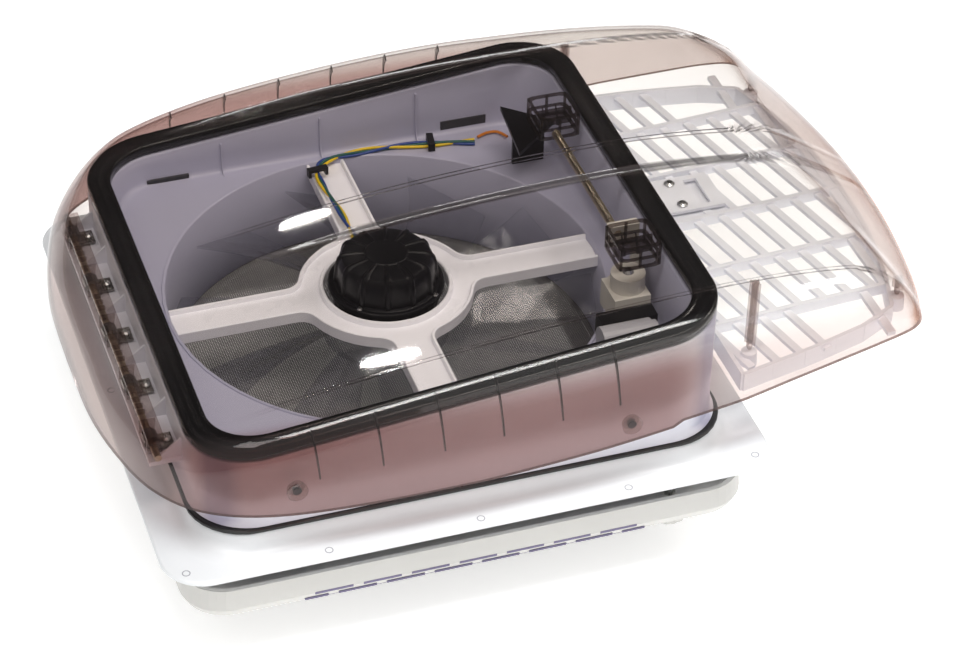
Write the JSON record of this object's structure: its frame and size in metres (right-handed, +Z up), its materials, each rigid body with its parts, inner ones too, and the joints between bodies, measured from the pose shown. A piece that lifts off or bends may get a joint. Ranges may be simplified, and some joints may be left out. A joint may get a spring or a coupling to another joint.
{
  "type": "powered roof vent with smoke hood",
  "caption": "Roof vent: a four-spoke fan housing on a square flange, under a hinged smoke hood with a louvred tail, and a bezel with a hand knob below the roof.",
  "frame": {"origin": "centre of the square roof opening, on the underside of the roof flange", "axes": "+X towards the louvred tail of the hood, +Y across the hood, away from the hand knob, +Z up, out of the roof"},
  "size_m": [0.581, 0.412, 0.1879],
  "materials": {
    "white_plastic": "moulded, fine satin gloss",
    "housing_plastic": "moulded, satin, faintly lilac under the smoke hood",
    "bezel_plastic": "moulded, fine matte texture, warm white",
    "duct_plastic": "moulded, plain",
    "smoke_plastic": "clear smoke tint, polished",
    "black_rubber": "soft closed-cell seal, shiny skin",
    "black_plastic": "moulded, fine grain",
    "fan_plastic": "moulded smoke grey",
    "bright_steel": "zinc plated",
    "dark_steel": "spring steel",
    "beige_rod": "yellow passivated",
    "pinion_plastic": "natural acetal",
    "screen_mesh": "woven mesh",
    "yellow_sheath": "cable sheath",
    "green_sheath": "cable sheath",
    "blue_sheath": "cable sheath",
    "orange_sheath": "cable sheath"
  },
  "bodies": {
    "vent_base": {"roof_flange": "white_plastic", "flange_gasket": "black_rubber", "fan_housing": "housing_plastic", "motor_spider": "housing_plastic", "motor_plate": "black_plastic", "motor_cap": "black_plastic", "motor_body": "dark_steel", "hinge_rod": "bright_steel", "lift_gearbox": "white_plastic", "gearbox_screw": "bright_steel", "gearbox_bracket": "black_plastic", "lift_motor": "dark_steel", "lift_bracket": "black_plastic", "wire_yellow": "yellow_sheath", "wire_green": "green_sheath", "wire_blue": "blue_sheath", "wire_orange": "orange_sheath", "cable_clip_1": "black_plastic", "cable_clip_2": "black_plastic", "duct_liner": "duct_plastic", "ceiling_bezel": "bezel_plastic", "screen_frame": "duct_plastic", "insect_screen": "screen_mesh", "control_panel": "black_plastic", "knob_bearing": "white_plastic", "motor_screw_1": "bright_steel", "motor_screw_2": "bright_steel", "motor_screw_3": "bright_steel", "motor_screw_4": "bright_steel", "hinge_clip_1": "dark_steel", "hinge_screw_1": "bright_steel", "hinge_clip_2": "dark_steel", "hinge_screw_2": "bright_steel", "hinge_clip_3": "dark_steel", "hinge_screw_3": "bright_steel", "hinge_clip_4": "dark_steel", "hinge_screw_4": "bright_steel", "hinge_clip_5": "dark_steel", "hinge_screw_5": "bright_steel"},
    "lid": {"lid_shell": "smoke_plastic", "lid_seal": "black_rubber", "lid_hinge_bar": "smoke_plastic", "rain_louvre": "white_plastic", "louvre_plate": "white_plastic", "plate_screw_1": "bright_steel", "plate_screw_2": "bright_steel", "lid_catch_1": "smoke_plastic", "lid_catch_2": "smoke_plastic", "catch_rod": "beige_rod", "lift_rack": "white_plastic"},
    "fan": {"fan_impeller": "fan_plastic", "rotor_shaft": "bright_steel", "impeller_nut": "bright_steel"},
    "pinion": {"drive_pinion": "pinion_plastic"},
    "knob": {"lid_knob": "bezel_plastic", "knob_shaft": "bright_steel"}
  },
  "joints": [
    {"name": "lid_hinge", "type": "hinge", "parent": "vent_base", "child": "lid", "pos_m": [-0.198, 0, 0.054], "axis": [0, -1, 0], "range_deg": [0, 15]},
    {"name": "fan_spin", "type": "hinge", "parent": "vent_base", "child": "fan", "pos_m": [-0.0035, 0, 0.027], "axis": [0, 0, 1], "continuous": true},
    {"name": "pinion_spin", "type": "hinge", "parent": "vent_base", "child": "pinion", "pos_m": [0.1454, -0.06, 0.066], "axis": [0, -1, 0], "range_deg": [0, 720]},
    {"name": "knob_turn", "type": "hinge", "parent": "vent_base", "child": "knob", "pos_m": [0.148, -0.164, -0.06], "axis": [0, 0, -1], "range_deg": [0, 1440]}
  ],
  "couplings": [
    {"joint": "pinion_spin", "follows": "lid_hinge", "ratio": 48},
    {"joint": "knob_turn", "follows": "lid_hinge", "ratio": 96}
  ]
}
